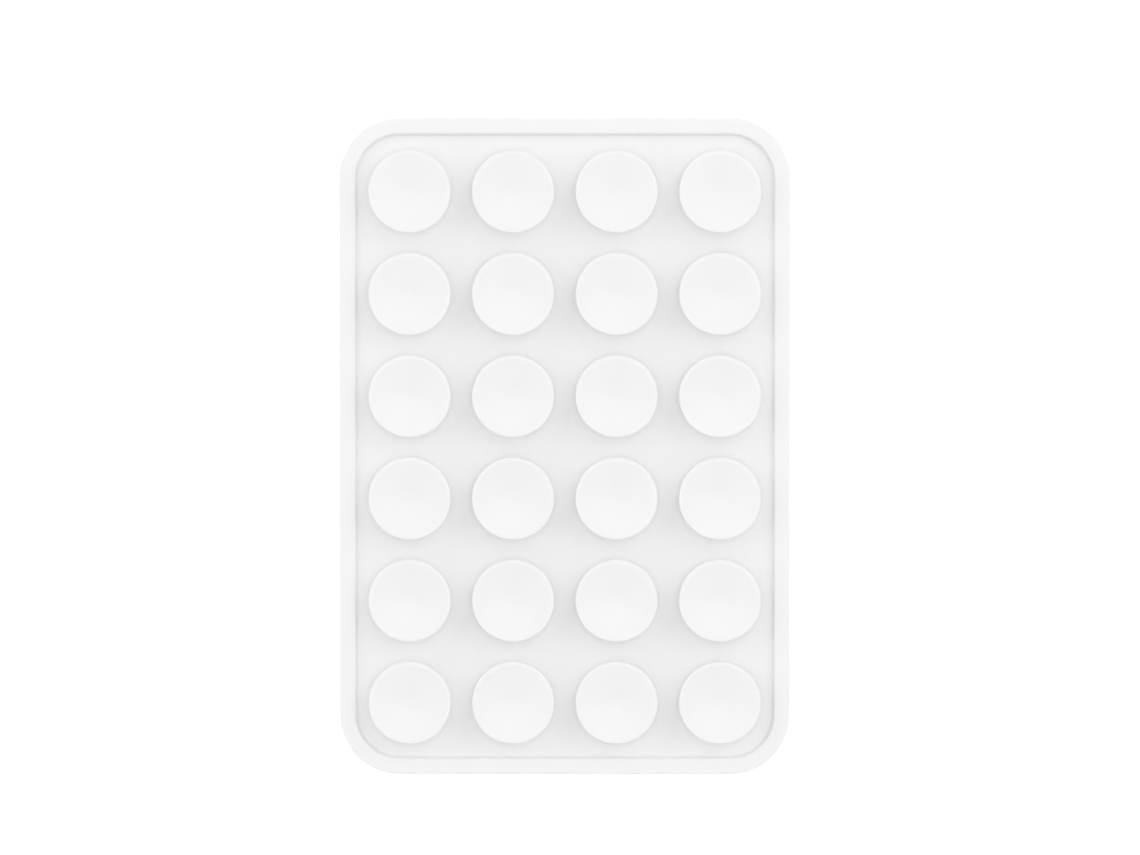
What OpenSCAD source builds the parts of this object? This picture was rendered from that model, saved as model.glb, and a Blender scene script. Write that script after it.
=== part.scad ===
// Suction cup phone holder: a moulded silicone mat with a raised rim and a grid of
// suction cups on its front, and an adhesive pad with a peel-off release liner on its back.
// Frame: +Z runs from the liner to the cups, X is the width, Y the length.
// The origin is the centre of the liner's outer face, which the part rests on.
// Row 1 is at +Y and column 1 at -X.

/* [Mat] */
// Overall width of the mat
mat_w = 63; // [58:0.5:80]
// Overall length of the mat
mat_l = 92; // [84:0.5:120]
// Corner radius of the mat's outline
mat_corner_r = 8.4; // [5:0.1:14]
// Thickness of the mat's floor, between the cups
floor_t = 1.5; // [0.8:0.1:3]
// Width of the raised rim
rim_w = 2.1; // [1.2:0.05:2.6]
// Height of the rim above the floor
rim_h = 1.0; // [0.7:0.1:2]
// Radius on the rim's outer edges
rim_outer_r = 0.15; // [0.1:0.05:0.5]
// Radius on the rim's inner top edge
rim_inner_r = 0.25; // [0.1:0.05:0.35]
// Radius where the rim's inner wall meets the floor
rim_foot_r = 0.3; // [0.1:0.05:0.35]
// How far the rim's inner wall leans in from its top to its foot
rim_draft = 0.25; // [0.05:0.05:0.4]

/* [Cup grid] */
// Number of cups across the width
columns = 4; // [2:1:4]
// Number of cups along the length
rows = 6; // [2:1:6]
// Gap in plan between the rim and the outer columns of cups
side_gap = 1.9; // [1:0.1:3]
// Gap in plan between the rim and the end rows of cups
end_gap = 2.3; // [1:0.1:4]

/* [Suction cup] */
// Outer diameter of a cup's lip
cup_d = 11.5; // [9:0.1:12.5]
// Depth of the conical dish below the lip
dish_depth = 0.95; // [0.5:0.05:1.4]
// Radius of the rounded bottom of the dish
dish_bottom_r = 1.3; // [0.6:0.1:2.5]
// Thickness of the disc between the dish and the neck
hub_t = 0.95; // [0.7:0.05:1.5]
// Thickness of the lip at its outer edge
lip_t = 0.45; // [0.35:0.05:0.7]
// Width of the flat land on the lip, with its rounded edge
lip_land = 0.5; // [0.4:0.05:0.9]
// Radius on the lip's outer top edge
lip_edge_r = 0.08; // [0.04:0.02:0.2]
// Radius on the lip's outer bottom edge
lip_under_r = 0.1; // [0.04:0.02:0.15]
// Diameter of the neck at its waist
neck_d = 5.0; // [3.6:0.1:6.5]
// Height of the neck above the floor
neck_h = 1.5; // [1.2:0.1:2.4]
// Height above the floor at which the neck starts to flare out to the lip
flare_start = 0.8; // [0.6:0.1:1.1]
// Radius where the neck meets the floor
neck_foot_r = 0.4; // [0.2:0.05:0.6]

/* [Adhesive and liner] */
// Thickness of the adhesive pad
adhesive_t = 0.3; // [0.1:0.05:0.8]
// How far the adhesive pad stays inside the mat's outline
adhesive_inset = 1.5; // [0.8:0.1:3]
// Thickness of the release liner
liner_t = 0.15; // [0.1:0.01:0.3]
// How far the liner reaches past the adhesive pad
liner_overlap = 0.5; // [0.2:0.1:0.8]
// Width of the liner's finger tab
tab_w = 14; // [8:0.5:30]
// How far the finger tab reaches past the liner's edge
tab_reach = 0.9; // [0.4:0.1:2]

/* [Hidden] */
silicone_colour = [0.96, 0.96, 0.96];
adhesive_colour = [0.86, 0.86, 0.83];
liner_colour = [0.93, 0.91, 0.84];

// Facets of a full circle
$fn = 72;
// Steps in a quarter of a rounded edge, in the flare's parts on the neck and the cup, and in the dish's bottom
edge_steps = 5;
neck_flare_steps = 3;
cup_flare_steps = 12;
dish_steps = 5;
quarter_turn = 90;
half_turn = 180;

// Heights of the faces, from the liner's outer face up
adhesive_z = liner_t;
mat_z = adhesive_z + adhesive_t;
floor_z = mat_z + floor_t;

cup_r = cup_d / 2;
neck_r = neck_d / 2;
cup_h = neck_h + hub_t + dish_depth;
dish_r = cup_r - lip_land;
dish_slope = dish_depth / (dish_r - dish_bottom_r / 2);

// The flare is a quarter of an ellipse, upright at the neck and level at the lip.
// The cup's seat on the neck cuts it.
flare_r = cup_r - lip_under_r;
flare_w = flare_r - neck_r;
flare_h = cup_h - lip_t - flare_start;
seat_angle = asin((neck_h - flare_start) / flare_h);

pitch_x = (mat_w - 2 * (rim_w + side_gap) - cup_d) / (columns - 1);
pitch_y = (mat_l - 2 * (rim_w + end_gap) - cup_d) / (rows - 1);

pad_w = mat_w - 2 * adhesive_inset;
pad_l = mat_l - 2 * adhesive_inset;
pad_corner_r = mat_corner_r - adhesive_inset;
liner_w = pad_w + 2 * liner_overlap;
liner_l = pad_l + 2 * liner_overlap;
liner_corner_r = pad_corner_r + liner_overlap;

function grid_name(what, row, column) = str(what, "_r", row, "c", column);
function grid_names(what) = [for (row = [1:rows], column = [1:columns]) grid_name(what, row, column)];

// Points of an arc round a centre, from one angle to another
function arc(centre, r, from, to, steps = edge_steps) =
    [for (i = [0:steps]) let (a = from + (to - from) * i / steps) centre + r * [cos(a), sin(a)]];

// Sweeps a profile round a rounded rectangle. The profile's x runs outwards from the
// centre of the corner's arc, and its y runs up.
module sweep_round_rectangle(w, l, corner_r) {
    for (side = [0:3]) {
        across = side % 2 == 0 ? w : l;
        along = side % 2 == 0 ? l : w;
        rotate([0, 0, quarter_turn * side]) translate([across / 2 - corner_r, along / 2 - corner_r, 0]) {
            rotate_extrude(angle = quarter_turn) children();
            rotate([quarter_turn, 0, 0]) linear_extrude(height = along - 2 * corner_r) children();
        }
    }
}

// The flat block inside that sweep
module middle_block(w, l, corner_r, t) {
    translate([corner_r - w / 2, corner_r - l / 2, 0])
        cube([w - 2 * corner_r, l - 2 * corner_r, t]);
}

module round_sheet(w, l, corner_r, t) {
    sweep_round_rectangle(w, l, corner_r) square([corner_r, t]);
    middle_block(w, l, corner_r, t);
}

// Section through the mat's edge: the floor, the sloping inner wall and the rounded rim.
// The roundings run smoothly into the wall.
function rim_section() =
    let (top = floor_t + rim_h, inner = mat_corner_r - rim_w,
         lean = atan(rim_draft / rim_h), round_reach = tan((quarter_turn - lean) / 2),
         edge = inner + rim_inner_r * round_reach, foot = inner - rim_draft - rim_foot_r * round_reach)
    concat(
        [[0, 0]],
        arc([mat_corner_r - rim_outer_r, rim_outer_r], rim_outer_r, -quarter_turn, 0),
        arc([mat_corner_r - rim_outer_r, top - rim_outer_r], rim_outer_r, 0, quarter_turn),
        arc([edge, top - rim_inner_r], rim_inner_r, quarter_turn, half_turn - lean),
        arc([foot, floor_t + rim_foot_r], rim_foot_r, -lean, -quarter_turn),
        [[0, floor_t]]);

module backing_mat() {
    color(silicone_colour) translate([0, 0, mat_z]) {
        sweep_round_rectangle(mat_w, mat_l, mat_corner_r) polygon(rim_section());
        middle_block(mat_w, mat_l, mat_corner_r, floor_t);
    }
}

// Height of the dish's surface above the neck's foot
function dish_height(r) =
    r > dish_bottom_r
        ? cup_h - dish_slope * (dish_r - r)
        : cup_h - dish_depth + dish_slope * r * r / (2 * dish_bottom_r);

// Points of the flare between two of its angles, the last one left out
function flare(from, to, steps) =
    [for (i = [0:steps - 1])
        let (a = from + (to - from) * i / steps)
        [flare_r - flare_w * cos(a), flare_start + flare_h * sin(a)]];

// Half section of a cup's disc: flat seat on the neck, flared skirt, rounded lip and dish
function disc_section() =
    concat(
        [[0, neck_h]],
        flare(seat_angle, quarter_turn, cup_flare_steps),
        arc([cup_r - lip_under_r, cup_h - lip_t + lip_under_r], lip_under_r, -quarter_turn, 0),
        arc([cup_r - lip_edge_r, cup_h - lip_edge_r], lip_edge_r, 0, quarter_turn),
        [[dish_r, cup_h]],
        [for (i = [dish_steps:-1:0]) let (r = dish_bottom_r * i / dish_steps) [r, dish_height(r)]]);

module suction_cup() {
    color(silicone_colour) rotate_extrude() polygon(disc_section());
}

// Half section of the neck under a cup: rounded foot, waist and the start of the flare
function neck_section() =
    concat(
        [[0, 0]],
        arc([neck_r + neck_foot_r, neck_foot_r], neck_foot_r, -quarter_turn, -half_turn),
        flare(0, seat_angle, neck_flare_steps),
        [[flare_r - flare_w * cos(seat_angle), neck_h], [0, neck_h]]);

module neck() {
    color(silicone_colour) rotate_extrude() polygon(neck_section());
}

module at_cup(row, column) {
    translate([(column - (columns + 1) / 2) * pitch_x, ((rows + 1) / 2 - row) * pitch_y, floor_z])
        children();
}

module adhesive_pad() {
    color(adhesive_colour) translate([0, 0, adhesive_z])
        round_sheet(pad_w, pad_l, pad_corner_r, adhesive_t);
}

// A round-ended tongue past the liner's +Y edge
module finger_tab() {
    translate([tab_reach - tab_w / 2, liner_l / 2, 0])
        cube([tab_w - 2 * tab_reach, tab_reach, liner_t]);
    for (side = [-1, 1])
        translate([side * (tab_w / 2 - tab_reach), liner_l / 2, 0])
            cylinder(h = liner_t, r = tab_reach);
}

module release_liner() {
    color(liner_colour) {
        round_sheet(liner_w, liner_l, liner_corner_r, liner_t);
        finger_tab();
    }
}

backing_mat();
adhesive_pad();
release_liner();
for (row = [1:rows], column = [1:columns]) {
    at_cup(row, column) suction_cup();
    at_cup(row, column) neck();
}
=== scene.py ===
"""Looks of the suction cup phone holder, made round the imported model. Metres, in the part's own frame."""
import math

import bpy
from mathutils import Matrix, Vector


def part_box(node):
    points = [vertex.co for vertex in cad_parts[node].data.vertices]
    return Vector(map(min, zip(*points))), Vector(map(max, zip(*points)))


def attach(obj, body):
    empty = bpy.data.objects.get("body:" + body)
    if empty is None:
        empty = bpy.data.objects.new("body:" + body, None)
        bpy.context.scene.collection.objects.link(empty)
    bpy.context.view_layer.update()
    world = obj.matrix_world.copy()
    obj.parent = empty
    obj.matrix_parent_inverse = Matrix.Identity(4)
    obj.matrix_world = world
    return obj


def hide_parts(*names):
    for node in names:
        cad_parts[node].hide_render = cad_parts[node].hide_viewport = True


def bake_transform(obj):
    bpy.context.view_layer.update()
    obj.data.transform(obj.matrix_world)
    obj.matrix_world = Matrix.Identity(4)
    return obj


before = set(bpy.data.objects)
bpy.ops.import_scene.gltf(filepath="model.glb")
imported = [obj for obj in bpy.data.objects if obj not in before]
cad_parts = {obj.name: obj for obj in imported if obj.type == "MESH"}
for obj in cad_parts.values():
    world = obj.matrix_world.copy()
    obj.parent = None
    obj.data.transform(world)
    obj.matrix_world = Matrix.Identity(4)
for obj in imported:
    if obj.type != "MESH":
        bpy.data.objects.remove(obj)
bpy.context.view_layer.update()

MM = 0.001
QUARTER_TURN = math.pi / 2
FULL_TURN = 2 * math.pi

# Sizes that the frame gives. Heights of a cup and its neck count from the mat's floor.
mat_low, mat_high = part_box("backing_mat")
pad_low, pad_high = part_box("adhesive_pad")
liner_low, liner_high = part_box("release_liner")
foot_low, foot_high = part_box("neck_r1c1")
disc_low, disc_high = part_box("suction_cup_r1c1")

MAT_W = mat_high.x - mat_low.x
MAT_L = mat_high.y - mat_low.y
FLOOR_Z = foot_low.z
RIM_TOP_Z = mat_high.z
CUP_R = (disc_high.x - disc_low.x) / 2
CUP_TOP = disc_high.z - FLOOR_Z

# The mat: its outline, and the rim with its sloping inner wall
MAT_CORNER_R = 8.4 * MM
RIM_W = 2.1 * MM
RIM_DRAFT = 0.25 * MM
RIM_OUTER_R = 0.15 * MM
RIM_INNER_R = 0.25 * MM
RIM_FOOT_R = 0.3 * MM

# A neck and its cup: the flare, the lip and the dish
NECK_R = 2.5 * MM
NECK_FOOT_R = 0.4 * MM
FLARE_START = 0.8 * MM
LIP_T = 0.45 * MM
LIP_LAND = 0.5 * MM
LIP_EDGE_R = 0.08 * MM
LIP_UNDER_R = 0.1 * MM
LIP_INNER_R = 0.5 * MM
DISH_DEPTH = 0.95 * MM
DISH_BOTTOM_R = 1.3 * MM
# How deep the neck is rooted in the mat
ROOT_DEPTH = 0.1 * MM

# The adhesive, the liner and its finger tab
PAD_CORNER_R = 6.9 * MM
PAD_EDGE_R = 0.05 * MM
LINER_CORNER_R = 7.4 * MM
LINER_EDGE_R = 0.03 * MM
TAB_W = 14 * MM
TAB_REACH = 0.9 * MM

# Steps in each rounding, and segments round a cup
ROUND_STEPS = 8
SHEET_EDGE_STEPS = 3
FLARE_STEPS = 24
DISH_STEPS = 16
CORNER_STEPS = 24
CUP_SEGMENTS = 96
# Distance from a rounding to the points that keep the flat faces beside it flat
SUPPORT = 0.04 * MM
# A smaller radius than this is a point on the axis
ON_AXIS = 0.004 * MM
# How far a section's flat end runs, in radii of the rounding beside it: on sheets and under the mat,
# and elsewhere
EDGE_RUN = 4
ROUND_RUN = 3
# How far the dish's slope runs on from the lip to set the rounding between them
SLOPE_RUN = 1.0 * MM


def towards(angle):
    """The unit vector at an angle, in a section or in plan."""
    return Vector((math.cos(angle), math.sin(angle)))


def rounded_path(corners, steps=ROUND_STEPS):
    """A polyline through (across, height, radius) corners, with each corner rounded by an arc."""
    points = []
    for i, (x, z, radius) in enumerate(corners):
        here = Vector((x, z))
        if radius == 0 or i in (0, len(corners) - 1):
            points.append(here)
            continue
        back = (Vector(corners[i - 1][:2]) - here).normalized()
        ahead = (Vector(corners[i + 1][:2]) - here).normalized()
        half = back.angle(ahead) / 2
        reach = radius / math.tan(half)
        centre = here + (back + ahead).normalized() * (radius / math.sin(half))
        start, end = here + back * reach, here + ahead * reach
        a0 = math.atan2(start.y - centre.y, start.x - centre.x)
        a1 = math.atan2(end.y - centre.y, end.x - centre.x)
        turn = (a1 - a0 + math.pi) % FULL_TURN - math.pi
        points.append(start + back * SUPPORT)
        for k in range(steps + 1):
            points.append(centre + radius * towards(a0 + turn * k / steps))
        points.append(end + ahead * SUPPORT)
    return points


def new_piece(name, vertices, faces, material):
    """A smooth-shaded mesh, linked to the scene."""
    mesh = bpy.data.meshes.new(name)
    mesh.from_pydata([tuple(v) for v in vertices], [], faces)
    mesh.polygons.foreach_set("use_smooth", [True] * len(mesh.polygons))
    mesh.materials.append(material)
    mesh.update()
    piece = bpy.data.objects.new(name, mesh)
    bpy.context.scene.collection.objects.link(piece)
    return piece


def bridge(faces, lower, upper):
    """Quads between two closed rings of one length, facing outwards where the rings run anticlockwise."""
    count = len(lower)
    for k in range(count):
        nxt = (k + 1) % count
        faces.append((lower[k], lower[nxt], upper[nxt], upper[k]))


def outline(width, length, corner_r):
    """Points of a round-cornered rectangle, anticlockwise, each with its outward direction."""
    found = []
    for side, (sx, sy) in enumerate(((1, 1), (-1, 1), (-1, -1), (1, -1))):
        centre = Vector((sx * (width / 2 - corner_r), sy * (length / 2 - corner_r)))
        for k in range(CORNER_STEPS + 1):
            out = towards(QUARTER_TURN * (side + k / CORNER_STEPS))
            found.append((centre + out * corner_r, out))
    return found


def sweep(name, path, section, material):
    """A closed solid: section's (inset, height) points, from the middle underneath to the middle on
    top, run round the path."""
    vertices, rings, faces = [], [], []
    for inset, height in section:
        ring = []
        for point, out in path:
            ring.append(len(vertices))
            place = point - out * inset
            vertices.append((place.x, place.y, height))
        rings.append(ring)
    for lower, upper in zip(rings, rings[1:]):
        bridge(faces, lower, upper)
    faces.append(tuple(reversed(rings[0])))
    faces.append(tuple(rings[-1]))
    return new_piece(name, vertices, faces, material)


def revolve(name, centre, section, material):
    """A closed solid: section's (radius, height) points, from the axis underneath to the axis on top,
    turned round a vertical axis at centre."""
    vertices, rings, faces = [], [], []
    for radius, height in section:
        z = centre.z + height
        if radius < ON_AXIS:
            rings.append([len(vertices)])
            vertices.append((centre.x, centre.y, z))
            continue
        ring = []
        for k in range(CUP_SEGMENTS):
            a = FULL_TURN * k / CUP_SEGMENTS
            ring.append(len(vertices))
            vertices.append((centre.x + radius * math.cos(a), centre.y + radius * math.sin(a), z))
        rings.append(ring)
    for lower, upper in zip(rings, rings[1:]):
        if len(lower) == 1:
            for k in range(CUP_SEGMENTS):
                faces.append((lower[0], upper[(k + 1) % CUP_SEGMENTS], upper[k]))
        elif len(upper) == 1:
            for k in range(CUP_SEGMENTS):
                faces.append((lower[k], lower[(k + 1) % CUP_SEGMENTS], upper[0]))
        else:
            bridge(faces, lower, upper)
    return new_piece(name, vertices, faces, material)


# Materials
# The part of a noise's values that is spread over a range
NOISE_LOW = 0.3
NOISE_HIGH = 0.7


def noise(tree, scale, detail, roughness=0.5):
    """A noise over the part's own coordinates; scale is its features per metre."""
    place = tree.nodes.new("ShaderNodeTexCoord")
    texture = tree.nodes.new("ShaderNodeTexNoise")
    texture.inputs["Scale"].default_value = scale
    texture.inputs["Detail"].default_value = detail
    texture.inputs["Roughness"].default_value = roughness
    tree.links.new(place.outputs["Object"], texture.inputs["Vector"])
    return texture.outputs["Fac"]


def spread(tree, value, low, high):
    """Maps a noise value to the range from low to high."""
    node = tree.nodes.new("ShaderNodeMapRange")
    node.inputs["From Min"].default_value = NOISE_LOW
    node.inputs["From Max"].default_value = NOISE_HIGH
    node.inputs["To Min"].default_value = low
    node.inputs["To Max"].default_value = high
    tree.links.new(value, node.inputs["Value"])
    return node.outputs["Result"]


def tint(tree, value, low, high):
    """Blends two colours by a noise value."""
    node = tree.nodes.new("ShaderNodeMix")
    node.data_type = "RGBA"
    node.inputs["A"].default_value = (*low, 1)
    node.inputs["B"].default_value = (*high, 1)
    tree.links.new(value, node.inputs["Factor"])
    return node.outputs["Result"]


def bump(tree, height, distance, strength):
    """Normals of a fine relief that a noise gives."""
    node = tree.nodes.new("ShaderNodeBump")
    node.inputs["Distance"].default_value = distance
    node.inputs["Strength"].default_value = strength
    tree.links.new(height, node.inputs["Height"])
    return node.outputs["Normal"]


def procedural(name, cloud, colours, sheen, roughness, grain, depth, strength):
    """A surface whose colour, roughness and relief each follow a noise. cloud, sheen and grain are
    what noise() takes; colours and roughness each have a low and a high end."""
    material = bpy.data.materials.new(name)
    material.use_nodes = True
    tree = material.node_tree
    tree.nodes.clear()
    shader = tree.nodes.new("ShaderNodeBsdfPrincipled")
    output = tree.nodes.new("ShaderNodeOutputMaterial")
    colour = tint(tree, spread(tree, noise(tree, **cloud), 0, 1), *colours)
    gloss = spread(tree, noise(tree, **sheen), *roughness)
    normal = bump(tree, noise(tree, **grain), depth, strength)
    tree.links.new(colour, shader.inputs["Base Color"])
    tree.links.new(gloss, shader.inputs["Roughness"])
    tree.links.new(normal, shader.inputs["Normal"])
    tree.links.new(shader.outputs["BSDF"], output.inputs["Surface"])
    return material, shader


SILICONE_IOR = 1.41
# The share of light that scatters inside the silicone, and how far it gets
SILICONE_SOFTNESS = 0.3
SILICONE_LIGHT_DEPTH = 0.8 * MM


def silicone(name, grain_strength):
    """White moulded silicone: faintly cloudy, satin, soft to light, with a fine mould grain."""
    material, shader = procedural(
        name,
        cloud=dict(scale=120, detail=3), colours=((0.965, 0.965, 0.965), (0.98, 0.98, 0.98)),
        sheen=dict(scale=900, detail=4), roughness=(0.40, 0.48),
        grain=dict(scale=9000, detail=4), depth=0.01 * MM, strength=grain_strength)
    shader.inputs["IOR"].default_value = SILICONE_IOR
    shader.inputs["Subsurface Weight"].default_value = SILICONE_SOFTNESS
    shader.inputs["Subsurface Radius"].default_value = (1, 1, 1)
    shader.inputs["Subsurface Scale"].default_value = SILICONE_LIGHT_DEPTH
    return material


mat_silicone = silicone("mat_silicone", grain_strength=0.25)
cup_silicone = silicone("cup_silicone", grain_strength=0.06)

# Tacky acrylic film: off-white, a little mottled
adhesive_film, _ = procedural(
    "adhesive_film",
    cloud=dict(scale=1500, detail=5), colours=((0.82, 0.82, 0.79), (0.89, 0.89, 0.86)),
    sheen=dict(scale=2500, detail=3), roughness=(0.18, 0.32),
    grain=dict(scale=2500, detail=3), depth=0.02 * MM, strength=0.4)

# Coated release paper: ivory, with faint fibres
liner_paper, _ = procedural(
    "liner_paper",
    cloud=dict(scale=2200, detail=8, roughness=0.7), colours=((0.90, 0.875, 0.80), (0.95, 0.935, 0.875)),
    sheen=dict(scale=700, detail=3), roughness=(0.38, 0.5),
    grain=dict(scale=4000, detail=6), depth=0.01 * MM, strength=0.35)

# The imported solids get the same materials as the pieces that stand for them
NODE_MATERIALS = (("suction_cup", cup_silicone), ("neck", cup_silicone), ("backing_mat", mat_silicone),
                  ("adhesive_pad", adhesive_film), ("release_liner", liner_paper))
for node_name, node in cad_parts.items():
    for start, material in NODE_MATERIALS:
        if node_name.startswith(start):
            node.data.materials.clear()
            node.data.materials.append(material)


# The mat
def dress(piece, body, slot, *nodes):
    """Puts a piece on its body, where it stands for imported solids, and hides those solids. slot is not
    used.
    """
    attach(piece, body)
    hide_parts(*nodes)


def sheet_section(low, high, edge_r):
    """Section of a flat sheet with softened edges."""
    inner = EDGE_RUN * edge_r
    corners = [(inner, low, 0), (0, low, edge_r), (0, high, edge_r), (inner, high, 0)]
    return rounded_path(corners, SHEET_EDGE_STEPS)


rim_foot = RIM_W + RIM_DRAFT
mat_section = rounded_path([
    (EDGE_RUN * RIM_OUTER_R, mat_low.z, 0),
    (0, mat_low.z, RIM_OUTER_R),
    (0, RIM_TOP_Z, RIM_OUTER_R),
    (RIM_W, RIM_TOP_Z, RIM_INNER_R),
    (rim_foot, FLOOR_Z, RIM_FOOT_R),
    (rim_foot + ROUND_RUN * RIM_FOOT_R, FLOOR_Z, 0)])
mat = sweep("silicone_mat", outline(MAT_W, MAT_L, MAT_CORNER_R), mat_section, mat_silicone)
dress(mat, "mat", "mat_silicone", "backing_mat")

# The adhesive
pad_outline = outline(pad_high.x - pad_low.x, pad_high.y - pad_low.y, PAD_CORNER_R)
pad_section = sheet_section(pad_low.z, pad_high.z, PAD_EDGE_R)
pad = sweep("adhesive_sheet", pad_outline, pad_section, adhesive_film)
dress(pad, "mat", "adhesive", "adhesive_pad")


# The liner
def liner_outline():
    """The liner's outline, with the finger tab on its +Y edge."""
    edge = liner_high.y - TAB_REACH
    found = outline(liner_high.x - liner_low.x, 2 * -liner_low.y, LINER_CORNER_R)
    tab = []
    for corner, side in enumerate((1, -1)):
        centre = Vector((side * (TAB_W / 2 - TAB_REACH), edge))
        for k in range(ROUND_STEPS + 1):
            out = towards(QUARTER_TURN * k / ROUND_STEPS + QUARTER_TURN * corner)
            tab.append((centre + out * TAB_REACH, out))
    after_first_corner = CORNER_STEPS + 1
    return found[:after_first_corner] + tab + found[after_first_corner:]


liner_section = sheet_section(liner_low.z, liner_high.z, LINER_EDGE_R)
liner = sweep("release_sheet", liner_outline(), liner_section, liner_paper)
dress(liner, "liner", "liner_paper", "release_liner")


# The suction cups
def dish_height(radius, slope):
    """Height of the dish's cone over its rounded bottom."""
    bottom = CUP_TOP - DISH_DEPTH
    if radius < DISH_BOTTOM_R:
        return bottom + slope * radius * radius / (2 * DISH_BOTTOM_R)
    return bottom + slope * (radius - DISH_BOTTOM_R / 2)


def cup_section():
    """Half section of a cup and its neck, from the axis underneath to the axis in the dish. The flare
    is a quarter of an ellipse, upright at the neck and level at the lip."""
    lip_under = CUP_TOP - LIP_T
    flare_r = CUP_R - LIP_UNDER_R
    flare_w = flare_r - NECK_R
    flare_h = lip_under - FLARE_START
    foot_r = NECK_R + NECK_FOOT_R
    foot = Vector((foot_r, NECK_FOOT_R))
    points = [Vector((0, -ROOT_DEPTH)), Vector((foot_r, -ROOT_DEPTH))]
    for k in range(ROUND_STEPS + 1):
        points.append(foot + NECK_FOOT_R * towards(-QUARTER_TURN * (1 + k / ROUND_STEPS)))
    for k in range(FLARE_STEPS):
        along = towards(QUARTER_TURN * k / FLARE_STEPS)
        points.append(Vector((flare_r - flare_w * along.x, FLARE_START + flare_h * along.y)))
    dish_r = CUP_R - LIP_LAND
    slope = DISH_DEPTH / (dish_r - DISH_BOTTOM_R / 2)
    edge = rounded_path([
        (CUP_R - ROUND_RUN * LIP_UNDER_R, lip_under, 0),
        (CUP_R, lip_under, LIP_UNDER_R),
        (CUP_R, CUP_TOP, LIP_EDGE_R),
        (dish_r, CUP_TOP, LIP_INNER_R),
        (dish_r - SLOPE_RUN, CUP_TOP - slope * SLOPE_RUN, 0)])
    points += edge[1:-1]
    for k in range(DISH_STEPS, -1, -1):
        radius = (dish_r - LIP_INNER_R) * k / DISH_STEPS
        points.append(Vector((radius, dish_height(radius, slope))))
    return points


section = cup_section()
for node_name in sorted(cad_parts):
    if not node_name.startswith("suction_cup_"):
        continue
    place = node_name.removeprefix("suction_cup_")
    low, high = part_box(node_name)
    centre = Vector(((low.x + high.x) / 2, (low.y + high.y) / 2, FLOOR_Z))
    cup = revolve("cup_" + place + "_silicone", centre, section, cup_silicone)
    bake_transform(cup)
    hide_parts(node_name, "neck_" + place)


# Floor and backdrop
# Half the floor's width, and its height, a hair under the part
FLOOR_HALF = 3.0
STAGE_Z = -0.01 * MM
# Grey of the floor, and the glow that brings it to white where it is seen directly
FLOOR_WHITE = 0.92
FLOOR_LIFT = 0.35
# A ray that starts this close to the floor passes through it
CLEAR_WITHIN = 0.1 * MM
# Strength of the backdrop's fill above and below the horizon, and how soft the horizon is
FILL = 0.605
FILL_BELOW = 0.9
HORIZON = 0.01


def seen_directly(tree):
    """1 for what the camera sees, also in a gloss or through something clear, and 0 for other light."""
    path = tree.nodes.new("ShaderNodeLightPath")
    found = path.outputs["Is Camera Ray"]
    for kind in ("Is Glossy Ray", "Is Transmission Ray"):
        either = tree.nodes.new("ShaderNodeMath")
        either.operation = "MAXIMUM"
        tree.links.new(found, either.inputs[0])
        tree.links.new(path.outputs[kind], either.inputs[1])
        found = either.outputs[0]
    return found


def white_floor():
    """White floor that keeps the part's shadow. It is clear from below, and for light that starts
    within a hair of it, so that the part's underside is lit and shows."""
    material = bpy.data.materials.new("white_floor")
    material.use_nodes = True
    tree = material.node_tree
    tree.nodes.clear()
    new = tree.nodes.new
    link = tree.links.new
    path = new("ShaderNodeLightPath")
    surface = new("ShaderNodeNewGeometry")
    diffuse = new("ShaderNodeBsdfDiffuse")
    diffuse.inputs["Color"].default_value = (FLOOR_WHITE, FLOOR_WHITE, FLOOR_WHITE, 1)
    glow = new("ShaderNodeEmission")
    lift = new("ShaderNodeMath")
    lift.operation = "MULTIPLY"
    lift.inputs[1].default_value = FLOOR_LIFT
    link(seen_directly(tree), lift.inputs[0])
    link(lift.outputs[0], glow.inputs["Strength"])
    seen = new("ShaderNodeAddShader")
    link(diffuse.outputs[0], seen.inputs[0])
    link(glow.outputs[0], seen.inputs[1])
    near = new("ShaderNodeMath")
    near.operation = "LESS_THAN"
    near.inputs[1].default_value = CLEAR_WITHIN
    link(path.outputs["Ray Length"], near.inputs[0])
    clear = new("ShaderNodeMath")
    clear.operation = "MAXIMUM"
    link(near.outputs[0], clear.inputs[0])
    link(surface.outputs["Backfacing"], clear.inputs[1])
    mix = new("ShaderNodeMixShader")
    link(clear.outputs[0], mix.inputs[0])
    link(seen.outputs[0], mix.inputs[1])
    link(new("ShaderNodeBsdfTransparent").outputs[0], mix.inputs[2])
    link(mix.outputs[0], new("ShaderNodeOutputMaterial").inputs["Surface"])
    return material


floor_corners = [(x * FLOOR_HALF, y * FLOOR_HALF, STAGE_Z)
                 for x, y in ((-1, -1), (1, -1), (1, 1), (-1, 1))]
floor = new_piece("floor", floor_corners, [(0, 1, 2, 3)], white_floor())


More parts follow.
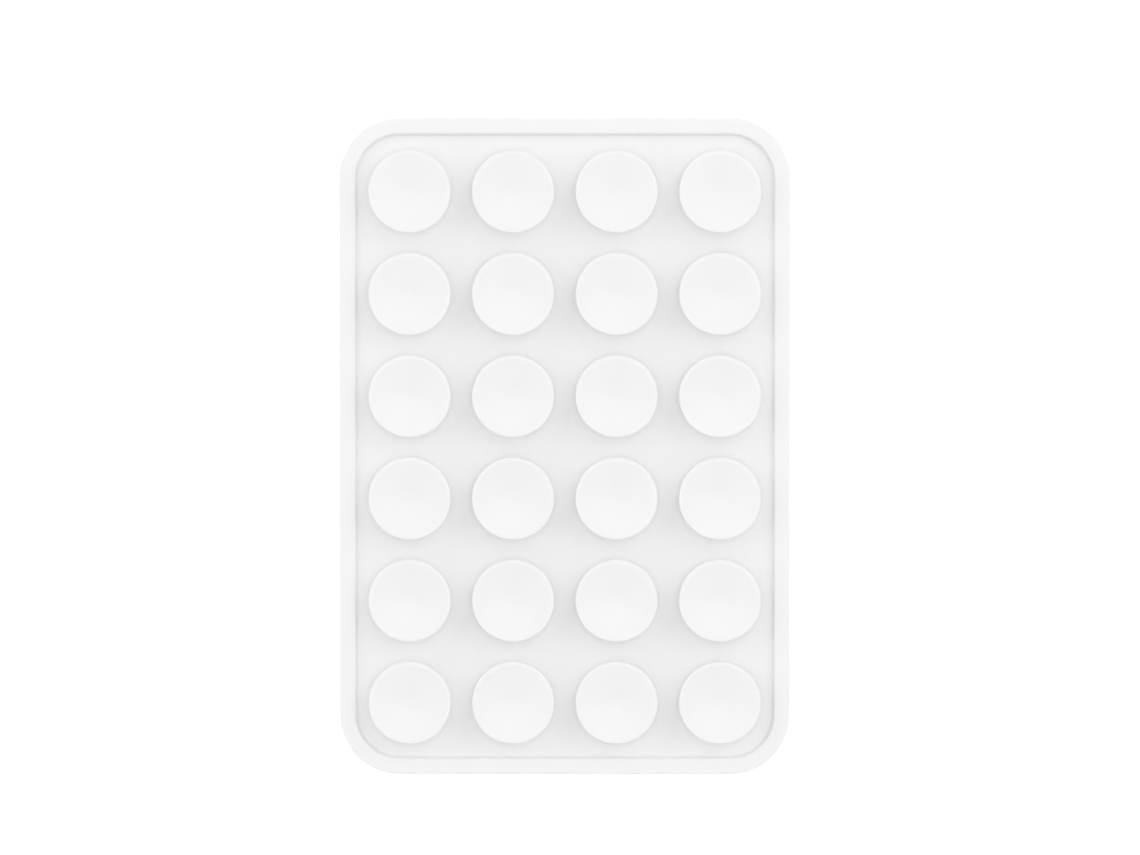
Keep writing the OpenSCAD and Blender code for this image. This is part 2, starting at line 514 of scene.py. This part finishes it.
def backdrop():
    """White for the camera and for gloss, and a plain soft fill for the rest, brighter below the
    horizon, where it reaches nothing but the part's underside."""
    world = bpy.data.worlds.new("backdrop")
    bpy.context.scene.world = world
    world.use_nodes = True
    tree = world.node_tree
    tree.nodes.clear()
    new = tree.nodes.new
    link = tree.links.new
    direction = new("ShaderNodeTexCoord")
    split = new("ShaderNodeSeparateXYZ")
    link(direction.outputs["Generated"], split.inputs[0])
    level = new("ShaderNodeMapRange")
    level.inputs["From Min"].default_value = -HORIZON
    level.inputs["From Max"].default_value = HORIZON
    level.inputs["To Min"].default_value = FILL_BELOW
    level.inputs["To Max"].default_value = FILL
    link(split.outputs["Z"], level.inputs["Value"])
    fill = new("ShaderNodeBackground")
    fill.inputs["Color"].default_value = (1, 1, 1, 1)
    link(level.outputs["Result"], fill.inputs["Strength"])
    white = new("ShaderNodeBackground")
    white.inputs["Color"].default_value = (1, 1, 1, 1)
    white.inputs["Strength"].default_value = 1
    mix = new("ShaderNodeMixShader")
    link(seen_directly(tree), mix.inputs[0])
    link(fill.outputs[0], mix.inputs[1])
    link(white.outputs[0], mix.inputs[2])
    link(mix.outputs[0], new("ShaderNodeOutputWorld").inputs["Surface"])


backdrop()

# Lamps: name, azimuth anticlockwise from +X, elevation, width, height and irradiance. Irradiance is
# what the lamp gives a surface that faces it, where 1 shows a colour as it is written.
LAMP_DISTANCE = 1.2
LAMPS = (
    ("overhead", 90, 89.9, 0.5, 0.5, 0.132),
    ("high_key", 45, 65, 0.7, 0.7, 0.061),
    ("low_east", 0, 35, 0.9, 0.7, 0.052),
    ("low_key", 45, 35, 0.9, 0.7, 0.101),
    ("low_back", 135, 35, 0.9, 0.7, 0.084),
    ("low_west", 180, 35, 0.9, 0.7, 0.07))


def softbox(name, azimuth, elevation, width, height, irradiance):
    """A rectangular lamp aimed at the part. What arrives there is its power / (pi * distance ** 2), and
    a white surface shows as white where pi arrives."""
    lamp = bpy.data.lights.new(name, "AREA")
    lamp.shape = "RECTANGLE"
    lamp.size = width
    lamp.size_y = height
    lamp.energy = irradiance * math.pi * LAMP_DISTANCE ** 2 * math.pi
    lamp.use_shadow = True
    box = bpy.data.objects.new(name, lamp)
    bpy.context.scene.collection.objects.link(box)
    a, e = math.radians(azimuth), math.radians(elevation)
    away = Vector((math.cos(a) * math.cos(e), math.sin(a) * math.cos(e), math.sin(e)))
    box.location = away * LAMP_DISTANCE
    box.rotation_mode = "QUATERNION"
    box.rotation_quaternion = away.to_track_quat("Z", "Y")


for lamp_values in LAMPS:
    softbox(*lamp_values)

# Camera, almost straight above and leaning to the north. The part sits left of the frame's middle and
# below it, as in the photo.
PHOTO_W = 1140
PHOTO_PX_PER_MM = 7.125
PART_LEFT_PX = 5.1
PART_DOWN_PX = 18.7
LEAN_EAST = 0.003
LEAN_NORTH = 0.05
CAMERA_DISTANCE = 1.5
CLIP_NEAR = 0.01
CLIP_FAR = 20
SENSOR = 36 * MM
view_w = PHOTO_W / PHOTO_PX_PER_MM * MM
camera_data = bpy.data.cameras.new("camera")
camera_data.sensor_width = SENSOR / MM
camera_data.lens = SENSOR * CAMERA_DISTANCE / view_w / MM
camera_data.clip_start = CLIP_NEAR
camera_data.clip_end = CLIP_FAR
camera = bpy.data.objects.new("camera", camera_data)
aim = Vector((PART_LEFT_PX / PHOTO_PX_PER_MM * MM, PART_DOWN_PX / PHOTO_PX_PER_MM * MM,
              (mat_low.z + mat_high.z) / 2))
towards_camera = Vector((LEAN_EAST, LEAN_NORTH, 1)).normalized()
camera.location = aim + towards_camera * CAMERA_DISTANCE
camera_right = Vector((0, 1, 0)).cross(towards_camera).normalized()
camera_up = towards_camera.cross(camera_right)
camera_axes = Matrix((camera_right, camera_up, towards_camera)).transposed()
camera.rotation_mode = "QUATERNION"
camera.rotation_quaternion = camera_axes.to_quaternion()
bpy.context.scene.collection.objects.link(camera)
bpy.context.scene.camera = camera
bpy.context.scene.view_settings.view_transform = "Standard"
